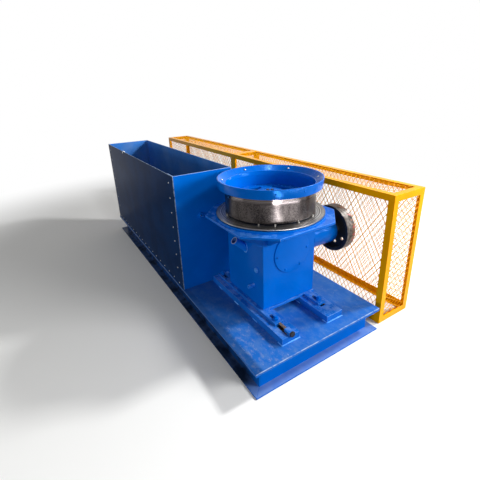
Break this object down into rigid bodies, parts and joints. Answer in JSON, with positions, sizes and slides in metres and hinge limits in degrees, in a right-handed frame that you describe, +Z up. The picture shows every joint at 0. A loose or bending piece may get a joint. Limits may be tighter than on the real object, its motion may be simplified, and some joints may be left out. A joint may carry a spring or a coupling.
{
  "type": "wire drawing machine",
  "caption": "Wet wire drawing machine: long open tank, gearbox with a vertical take-up block on slide rails, input pulley and a mesh belt guard.",
  "frame": {"origin": "middle of the footprint, on the floor", "axes": "+X along the machine towards the take-up end, +Y across towards the belt guard, +Z up"},
  "size_m": [3.9206, 1.393, 1.063],
  "materials": {
    "blue_enamel": "gloss enamel",
    "panel_enamel": "gloss enamel",
    "yellow_enamel": "gloss enamel",
    "worn_steel": "turned and worn",
    "machined_steel": "machined",
    "black_steel": "blackened",
    "cast_iron": "black paint, worn rim"
  },
  "bodies": {
    "machine": {"base_side_left": "blue_enamel", "base_side_right": "blue_enamel", "base_front_beam": "blue_enamel", "base_rear_beam": "blue_enamel", "base_cross_beams": "blue_enamel", "deck_plate": "blue_enamel", "tank_floor": "blue_enamel", "tank_side_panel": "panel_enamel", "tank_back_wall": "blue_enamel", "tank_front_wall": "blue_enamel", "tank_end_wall": "blue_enamel", "wire_outlet": "blue_enamel", "slide_rail_left": "blue_enamel", "slide_rail_right": "blue_enamel", "adjusting_screw": "black_steel", "clamp_bolts": "blue_enamel", "gearbox_foot": "blue_enamel", "gearbox_housing": "blue_enamel", "table_plate": "blue_enamel", "table_gussets": "blue_enamel", "block_seat": "blue_enamel", "front_cover": "blue_enamel", "input_housing": "blue_enamel", "side_sleeve": "blue_enamel", "sight_plug": "blue_enamel", "drain_stub": "blue_enamel", "guard_posts": "yellow_enamel", "guard_long_rails": "yellow_enamel", "guard_cross_rails": "yellow_enamel", "guard_front_near_mesh": "yellow_enamel", "guard_front_far_mesh": "yellow_enamel", "guard_front_top_mesh": "yellow_enamel", "guard_rear_near_mesh": "yellow_enamel", "guard_rear_far_mesh": "yellow_enamel", "guard_rear_top_mesh": "yellow_enamel", "guard_end_meshes": "yellow_enamel"},
    "take_up_block": {"block_flange": "worn_steel", "block_skirt": "blue_enamel", "block_web": "blue_enamel", "block_band": "worn_steel", "block_rim": "blue_enamel", "block_shaft": "machined_steel"},
    "input_drive": {"pulley": "cast_iron", "input_shaft": "machined_steel"}
  },
  "joints": [
    {"name": "block_spin", "type": "hinge", "parent": "machine", "child": "take_up_block", "pos_m": [1.38825, -0.1745, 0.809], "axis": [0, 0, 1], "continuous": true},
    {"name": "pulley_spin", "type": "hinge", "parent": "machine", "child": "input_drive", "pos_m": [1.50825, 0.2785, 0.621], "axis": [0, 1, 0], "continuous": true}
  ],
  "couplings": [
    {"joint": "pulley_spin", "follows": "block_spin", "ratio": 5}
  ]
}
